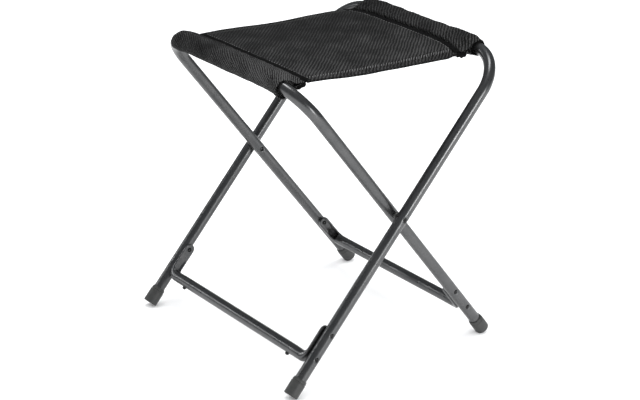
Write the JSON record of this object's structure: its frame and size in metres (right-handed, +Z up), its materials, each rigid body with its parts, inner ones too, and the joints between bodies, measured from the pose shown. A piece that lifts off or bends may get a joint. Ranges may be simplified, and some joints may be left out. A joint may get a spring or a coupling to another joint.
{
  "type": "camp stool",
  "caption": "Folding camp stool with two crossed U-bent tube frames, riveted lower braces, foot caps and a fabric seat sleeved over the top bars.",
  "frame": {"origin": "on the floor, at the middle of the four feet", "axes": "+Z up; +X across the seat from the inner frame's bar to the outer frame's bar; Y along the two bars"},
  "size_m": [0.4044, 0.4088, 0.4709],
  "materials": {
    "frame_paint": "satin anthracite powder coat",
    "cap_plastic": "matte dark grey",
    "rivet_zinc": "dull zinc",
    "washer_nylon": "natural nylon",
    "plug_rubber": "matte black",
    "seat_fabric": "black ribbed weave",
    "sleeve_foam": "dark foam",
    "seam_tape": "black overlocked edge"
  },
  "bodies": {
    "inner_frame": {"inner_frame_tube": "frame_paint", "inner_frame_brace": "frame_paint", "inner_frame_cap_near": "cap_plastic", "inner_frame_rivet_low_near": "rivet_zinc", "inner_frame_rivet_high_near": "rivet_zinc", "inner_frame_cap_far": "cap_plastic", "inner_frame_rivet_low_far": "rivet_zinc", "inner_frame_rivet_high_far": "rivet_zinc"},
    "outer_frame": {"outer_frame_tube": "frame_paint", "outer_frame_brace": "frame_paint", "outer_frame_cap_near": "cap_plastic", "outer_frame_rivet_low_near": "rivet_zinc", "outer_frame_rivet_high_near": "rivet_zinc", "outer_frame_cap_far": "cap_plastic", "outer_frame_rivet_low_far": "rivet_zinc", "outer_frame_rivet_high_far": "rivet_zinc", "pivot_rivet_near": "rivet_zinc", "pivot_washer_near": "washer_nylon", "brace_plug_near": "plug_rubber", "pivot_rivet_far": "rivet_zinc", "pivot_washer_far": "washer_nylon", "brace_plug_far": "plug_rubber"},
    "seat_left": {"sleeve_cover_left": "seat_fabric", "sleeve_foam_left": "sleeve_foam", "seam_binding_left": "seam_tape", "seat_panel_left": "seat_fabric", "hem_front_left": "seat_fabric", "corner_tuck_front_left": "seam_tape", "hem_back_left": "seat_fabric", "corner_tuck_back_left": "seam_tape"},
    "seat_right": {"sleeve_cover_right": "seat_fabric", "sleeve_foam_right": "sleeve_foam", "seam_binding_right": "seam_tape", "seat_panel_right": "seat_fabric", "hem_front_right": "seat_fabric", "corner_tuck_front_right": "seam_tape", "hem_back_right": "seat_fabric", "corner_tuck_back_right": "seam_tape"}
  },
  "joints": [
    {"name": "fold", "type": "hinge", "parent": "inner_frame", "child": "outer_frame", "pos_m": [0, 0, 0.23959], "axis": [0, -1, 0], "range_deg": [0, 72.5]},
    {"name": "seat_left_roll", "type": "hinge", "parent": "inner_frame", "child": "seat_left", "pos_m": [-0.1803, 0, 0.457], "axis": [0, 1, 0], "range_deg": [0, 48.55], "deforming": ["seat_panel_left", "hem_front_left", "hem_back_left"]},
    {"name": "seat_right_roll", "type": "hinge", "parent": "outer_frame", "child": "seat_right", "pos_m": [0.1803, 0, 0.457], "axis": [0, -1, 0], "range_deg": [0, 48.55], "deforming": ["seat_panel_right", "hem_front_right", "hem_back_right"]}
  ],
  "couplings": [
    {"joint": "seat_left_roll", "follows": "fold", "ratio": 0.669},
    {"joint": "seat_right_roll", "follows": "fold", "ratio": 0.669}
  ]
}
